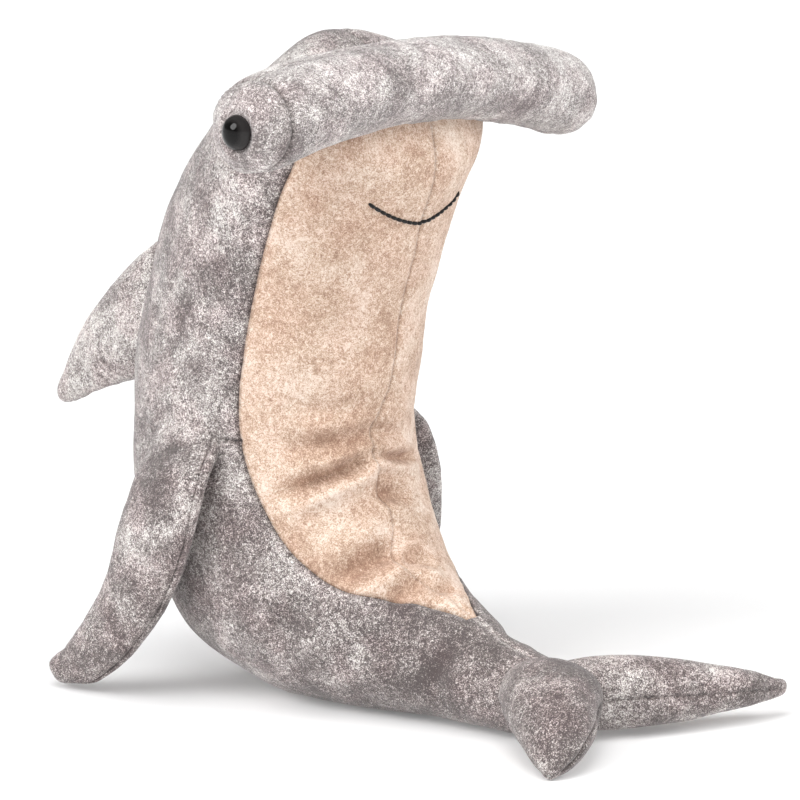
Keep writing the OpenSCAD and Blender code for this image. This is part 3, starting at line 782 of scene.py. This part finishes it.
eye_socket = 1.5 * np.exp(-((eye_gap - 9.3) / 1.9) ** 2) - 1.3 * np.exp(-((eye_gap - 4.5) / 3.5) ** 2)
push += eye_socket * (np.abs(share_grid) > 0.8)
crinkle = np.clip(upright, 0, 1) * np.exp(-gap_cap / 6) * on_cap
push += 0.45 * crinkle * np.sin(2 * np.pi * around / 2.6 + noise(hammer_rest, 9, 6.6))
outward = normals(hammer_rest)
outward = outward * np.sign(outward[MIDDLE_ROW, 0, 2])   # the first column is the top
hammer_points = hammer_rest + push[..., None] * outward
hammer_seam = np.maximum(0.9 * seam_line(gap_cap, around), 0.6 * seam_line(gap_span, along_hammer))
# A painted highlight along each cap's lower rim, where the pile catches the light
painted_rim_highlight = np.exp(-((np.abs(share_grid) - 0.962) / 0.016) ** 2) * np.clip(0.35 - upright, 0, 1)
# Painted light on the hammer's top and painted shade underneath, by how upright each point faces; the caps
# and the whole hammer are also a touch darker in their own tone
hammer_tone_and_painted_light = 0.045 * upright - 0.02 * on_cap - 0.02 + 0.11 * painted_rim_highlight
# Its pile's pattern is taken from 300 mm away, so it doesn't repeat the body's
hammer_skin = Skin(hammer_points, hammer_rest + np.array([300.0, 0, 0]), hammer_seam, hammer_tone_and_painted_light)
if hammer_skin.normals[MIDDLE_ROW, 0, 2] < 0:
    hammer_skin.normals = -hammer_skin.normals
row_share = (share_grid[:-1, :1] + share_grid[1:, :1]) / 2
face_angle = hammer_angle[:1] + np.pi / HAMMER_COLS
span, whole = np.abs(row_share) < CAP_SHARE, np.ones_like(face_angle, bool)
hammer_panels = {"hammer_back_panel": span & (face_angle < np.pi),
                 "hammer_front_panel": span & (face_angle > np.pi),
                 "hammer_end_cap_left": (row_share > CAP_SHARE) & whole,
                 "hammer_end_cap_right": (row_share < -CAP_SHARE) & whole}
for name, keep in hammer_panels.items():
    panel = hammer_skin.panel(name + "_cloth", keep, pale_plush)
    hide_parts(name)
    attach(panel, "head")
inner = hammer_skin.points - 4.0 * hammer_skin.normals
stuffing = solid("hammer_stuffing", inner[16:-16:4, ::4], filling_fibre)
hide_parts("hammer_filling")
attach(stuffing, "head")

# -------- eyes
# Lathe outline of the safety eye: [radius, distance out of the fabric] in mm
EYE_OUTLINE = [[0.01, 5.35], [1.5, 5.2], [3.0, 4.75], [4.4, 3.95], [5.5, 3.0], [6.3, 2.0], [6.8, 1.1],
               [7.0, 0.4], [6.9, -0.1], [6.3, -0.5], [3.0, -0.6], [2.05, -0.8], [2.0, -4.0], [2.0, -15.6],
               [1.6, -16.0], [0.01, -16.0]]
EYE_RADIUS, EYE_COLS, EYE_SEAT = 7.0, 48, 0.9995   # the seat is a share of the hammer's half width


def lathe(side, outline):
    """Rings of an outline turned about the hammer's axis at one end, in mm, and their radii."""
    t = np.linspace(0, len(outline) - 1, 4 * len(outline))
    r, out = np.moveaxis(spline(outline, t), -1, 0)
    turn = 2 * np.pi * np.arange(EYE_COLS) / EYE_COLS
    centre = np.array([side * HAMMER_W / 2 * EYE_SEAT, HAMMER_Y + HAMMER_SWEEP, HAMMER_Z - HAMMER_DROOP])
    x, y, z = side * out[:, None] + 0 * turn, r[:, None] * np.sin(turn), r[:, None] * np.cos(turn)
    return centre + np.stack([x, y, z], -1), r


for side, word in ((1, "left"), (-1, "right")):
    rings, radius = lathe(side, EYE_OUTLINE)
    eye = solid(f"eye_{word}_bead", rings, eye_plastic)
    shade = np.append(np.repeat(np.abs(radius) / EYE_RADIUS, EYE_COLS), [0, 0])
    eye.data.attributes["seam"].data.foreach_set("value", shade.astype(np.float32))
    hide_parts(f"eye_{word}")
    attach(eye, "head")
    washer_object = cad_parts[f"eye_washer_{word}"]
    for material_slot in washer_object.material_slots:
        material_slot.link = "OBJECT"
        material_slot.material = washer_plastic

# -------- mouth
MOUTH_HALF, MOUTH_LOW, MOUTH_RISE = 29, 3.04, 0.31   # half width in mm, lowest ring and rise in rings
THREAD_D, THREAD_SUNK = 1.6, 0.7   # thread's thickness and how far into the skin a stitch starts, in mm
STITCHES, STITCH_RINGS, STITCH_SIDES = 19, 9, 10


def skin_point(t, angle):
    """Points of the finished body skin and its normals there, in mm."""
    row = np.interp(t, t_grid[:, 0], np.arange(len(t_grid)))
    found = []
    for r, a in zip(row, angle):
        j = int(np.clip(r, 0, len(t_grid) - 2))
        columns = [np.interp(a, angle_grid[j + n], np.arange(angle_grid.shape[1])) for n in (0, 1)]
        c = columns[0] + (columns[1] - columns[0]) * (r - j)
        i = int(c)
        corners = ((j, i, (1 - r + j) * (1 - c + i)), (j, i + 1, (1 - r + j) * (c - i)),
                   (j + 1, i, (r - j) * (1 - c + i)), (j + 1, i + 1, (r - j) * (c - i)))
        grids = body_skin.points, body_skin.normals
        found.append([sum(w * grid[y, x] for y, x, w in corners) for grid in grids])
    found = np.array(found)
    return found[:, 0], unit(found[:, 1])


ends = np.linspace(-1, 1, STITCHES + 1)
arch = np.sin(np.pi * np.linspace(0.04, 0.96, STITCH_RINGS))[:, None]
turn = (2 * np.pi * np.arange(STITCH_SIDES) / STITCH_SIDES)[None, :, None]
mouth_points, mouth_faces = [], []
for start, stop in zip(ends[:-1], ends[1:]):
    u = np.linspace(start - 0.006, stop + 0.006, STITCH_RINGS)
    t = MOUTH_LOW - MOUTH_RISE * np.abs(u) ** 1.4
    base, out = skin_point(t, np.arcsin(MOUTH_HALF * u / spline(BODY, t)[..., 4]))
    out = out[STITCH_RINGS // 2]
    path = base + out * (arch - THREAD_SUNK)
    d = unit(np.gradient(path, axis=0))
    s = unit(np.cross(d, out))
    o = np.cross(s, d)
    radius = THREAD_D / 2 * (0.62 + 0.38 * arch)
    rings = path[:, None] + radius[:, None] * (np.cos(turn) * s[:, None] + np.sin(turn) * o[:, None])
    first = len(mouth_points)
    mouth_points += rings.reshape(-1, 3).tolist() + [path[0].tolist(), path[-1].tolist()]
    mouth_faces += [[first + corner for corner in face] for face in tube_faces(STITCH_RINGS, STITCH_SIDES)]
no_seam = np.zeros(len(mouth_points))
mouth = add_mesh("mouth_embroidery", mouth_points, mouth_faces, mouth_points, no_seam, black_thread)
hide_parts("mouth_stitch")
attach(mouth, "head")

# -------- fins
# Ribs from root to tip: leading edge, trailing edge, half thickness. The first of each lies inside the body.
PECTORAL = [[[-38, 0, 143], [-42, 16, 138], 5.0], [[-44, -7, 131], [-50, 22, 124], 7.0],
            [[-54.5, -13, 117], [-58, 26, 106], 7.4], [[-64, -16, 107], [-66, 27, 92], 7.4],
            [[-68, -14.5, 92], [-70, 30, 78], 7.4], [[-69.5, -8.5, 70], [-71.5, 36, 58], 7.0],
            [[-71, 3.5, 46], [-73, 47, 38], 6.5], [[-72, 24, 22], [-74, 60, 22], 5.8],
            [[-73, 43, 7.5], [-74.5, 70, 12.5], 4.4], [[-73.5, 58, 4.2], [-74.5, 68, 6.5], 2.6],
            [[-73.7, 62, 4], [-74.3, 66, 5], 0.8]]
DORSAL = [[[0, 46, 200], [0, 60, 129], 2.2], [[0, 60.5, 198], [0, 72.8, 129], 4.0],
          [[0, 68, 194], [0, 77, 128], 7.6], [[0, 80, 187], [0, 85, 127], 9.2],
          [[0, 97, 173], [0, 98, 123], 8.8], [[0, 112, 159], [0, 112, 118], 7.8],
          [[0, 124, 145], [0, 125, 113], 6.8], [[0, 133, 130], [0, 134, 109.5], 5.4],
          [[0, 138, 121], [0, 138.5, 110], 3.6], [[0, 141, 117], [0, 141, 112], 1.0]]
UPPER_LOBE = [[[0, -158, 19], [-1, -134, 19], 8], [[6, -166, 19.5], [2, -134, 19.5], 13],
              [[15, -171, 20], [8, -137, 20], 15], [[30, -182, 20], [24, -145, 20], 15.5],
              [[48, -193, 19], [42, -158, 19], 13.5], [[64, -200, 18], [60, -175, 18], 10],
              [[78, -203, 16.5], [75, -188, 16.5], 6.8], [[87, -204, 15], [85, -195, 15], 4.6],
              [[92, -203, 14.5], [91, -198, 14.5], 3.4], [[94, -202, 14.5], [93.6, -199, 14.5], 0.8]]
LOWER_LOBE = [[[4, -137, 22], [6, -166, 22], 9], [[-2, -131, 23], [2, -173, 23], 14.5],
              [[-11, -131, 23], [-8, -178, 22], 16.5], [[-22, -139, 19.5], [-19, -184, 19], 16],
              [[-31, -151, 15], [-27.5, -186, 15], 12.8], [[-38, -163, 10], [-34, -186, 10], 8.5],
              [[-42, -172, 6.5], [-39, -184, 6.5], 5], [[-43.5, -176, 4.5], [-42, -182, 4.5], 2.8],
              [[-44, -178, 4], [-43.4, -181, 4], 0.8]]
FIN_ROWS, FIN_COLS = 66, 72


def fin_grid(ribs, seam_turn):
    """Rest points of a fin, its distance from the edge seam and the way along it, all in mm. seam_turn is how
    many columns the front seam lies off the edge."""
    rows = [np.concatenate([np.array(r[0]) + ORIGIN, np.array(r[1]) + ORIGIN, [r[2]]]) for r in ribs]
    last, columns = len(rows) - 1, np.arange(FIN_COLS)
    t, turn = np.meshgrid(np.linspace(0, last, FIN_ROWS + 1), 2 * np.pi * columns / FIN_COLS, indexing="ij")
    r = spline(rows, t)
    front, rear, thick = r[..., :3], r[..., 3:6], np.maximum(r[..., 6], 0.3)
    chord = rear - front
    before, after = spline(rows, np.maximum(t - 0.1, 0)), spline(rows, np.minimum(t + 0.1, last))
    along = unit((after - before)[..., :3] + (after - before)[..., 3:6])
    s = unit(chord)
    n = unit(np.cross(along, s))
    width = np.linalg.norm(chord, axis=-1) / 2
    plump = np.sign(np.cos(turn)) * np.abs(np.cos(turn)) ** 0.9
    p = (front + rear) / 2 + (width * np.sin(turn))[..., None] * s + (thick * plump)[..., None] * n
    steps = np.linalg.norm(np.diff((front + rear)[:, 0] / 2, axis=0), axis=1)
    length = np.concatenate([[0], np.cumsum(steps)])[:, None] + 0 * t
    step = 2 * np.pi * np.sqrt((width ** 2 + thick ** 2) / 2) / FIN_COLS
    rear_gap = np.abs(columns - FIN_COLS / 4)[None] * step
    front_gap = np.abs(columns - (FIN_COLS * 3 / 4 + seam_turn))[None] * step
    return p, np.minimum(rear_gap, front_gap), length


def make_fin(stem, faces, ribs, body, shift, shade, bend=None, seam_turn=0, place=None, more=()):
    """Two sewn panels and the filling of a fin. place moves finished points from the right fin's place to its
    own. With bend the pieces keep their place with their transform baked in, and its two points are not used;
    without it the fin moves as a whole."""
    rest, gap, length = fin_grid(ribs, seam_turn)
    push = -groove(gap, 0.75, 1.2, 0.35, 5) + puckers(gap, length, rest, 0.45)
    push += lumps(rest, [(0.45, 18, shift), (0.22, 8, 4.4), (0.1, 4.5, 2.9)])
    out = normals(rest)
    middle = rest.mean(1, keepdims=True)
    if np.sum(out * (rest - middle)) < 0:
        out = -out
    fade = np.clip(np.minimum(length / 12, (length.max() - length) / 10 + 0.25), 0, 1)
    points = rest + (push * fade)[..., None] * out
    if place is not None:
        points, rest = place(points), place(rest)
    points[..., 2] = np.maximum(points[..., 2], FLOOR_CLEARANCE)
    # The fin's own tone and faint bands along it, with painted shade towards the root where the fin meets the
    # body
    pile = shade + 0.03 * np.sin(length / 9 + 0.4 * np.sin(length / 5)) - 0.05 * np.exp(-length / 14)
    skin = Skin(points, rest, 0.85 * seam_line(gap, length), pile)
    if np.sum(skin.normals * (points - points.mean(1, keepdims=True))) < 0:
        skin.normals = -skin.normals
    column = np.arange(FIN_COLS)[None] + 0.5
    rows = np.ones((FIN_ROWS, 1), bool)
    rear, front = FIN_COLS / 4, FIN_COLS * 3 / 4 + seam_turn
    bottom = rows & (column > rear) & (column < front)
    pieces = []
    nodes = [f"{stem}_{face}_panel" for face in faces]
    for node, keep in zip(nodes, (rows & ~bottom, bottom)):
        panel = skin.panel(node + "_cloth", keep, grey_plush, FIN_CLOTH_THICK)
        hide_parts(node)
        pieces.append(panel)
    inner = (middle if place is None else place(middle)) * 0.28 + 0.72 * points
    stuffing = solid(f"{stem}_filling_fibre", inner[6:-4:3, ::4], filling_fibre)
    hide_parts(f"{stem}_filling", *more)
    pieces.append(stuffing)
    for piece in pieces:
        if bend:
            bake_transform(piece)
        else:
            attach(piece, body)


BEND_BEFORE, BEND_REACH = 5, 16.0   # how far a fin's bend reaches to either side of its root, in mm


def fin_bend(ribs, first, place=None):
    """Two points in metres: where a fin starts to turn, at its root, and where it turns fully."""
    low, high = ((np.array(ribs[n][0]) + np.array(ribs[n][1])) / 2 + ORIGIN for n in (first, first + 2))
    if place is not None:
        low, high = place(low), place(high)
    way = unit(high - low)
    return Vector((low - BEND_BEFORE * way) * MM), Vector((low + BEND_REACH * way) * MM)


PECTORAL_ROOT = np.array([-62.3, 5.5, 108.5]) + ORIGIN
LEFT_FLARE, LEFT_SWING, LEFT_SHIFT = math.radians(26), math.radians(14), 6
flare_axis = Vector((0, 41, -19)).normalized()
turned = Matrix.Rotation(-LEFT_SWING, 3, "X") @ Matrix.Rotation(-LEFT_FLARE, 3, flare_axis)
TURN = np.array([list(row) for row in turned])


def to_left(points):
    """From the right pectoral fin's place to the left one's: mirrored, leaned out and swung forward."""
    mirror = np.array([-1, 1, 1])
    root = PECTORAL_ROOT * mirror
    return (points * mirror - root) @ TURN.T + root - np.array([0, LEFT_SHIFT, 0])


PECTORAL_FACES, LOBE_FACES = ("inner", "outer"), ("top", "bottom")
make_fin("pectoral_right", PECTORAL_FACES, PECTORAL, "pectoral_fin_right", shift=14, shade=-0.055,
         bend=fin_bend(PECTORAL, 2), seam_turn=-4)
make_fin("pectoral_left", PECTORAL_FACES, PECTORAL, "pectoral_fin_left", shift=13, shade=-0.03,
         bend=fin_bend(PECTORAL, 2, to_left), seam_turn=-4, place=to_left)
make_fin("dorsal_fin", ("right", "left"), DORSAL, "dorsal_fin", shift=6, shade=0.08, bend=fin_bend(DORSAL, 1))
make_fin("caudal_upper_lobe", LOBE_FACES, UPPER_LOBE, "caudal_fin", shift=12, shade=-0.03)
make_fin("caudal_lower_lobe", LOBE_FACES, LOWER_LOBE, "caudal_fin", shift=12, shade=-0.13,
         more=("caudal_root_filling",))

# -------- hidden pieces that stay as CAD
bag_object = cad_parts["pellet_bag"]
for material_slot in bag_object.material_slots:
    material_slot.link = "OBJECT"
    material_slot.material = filling_fibre
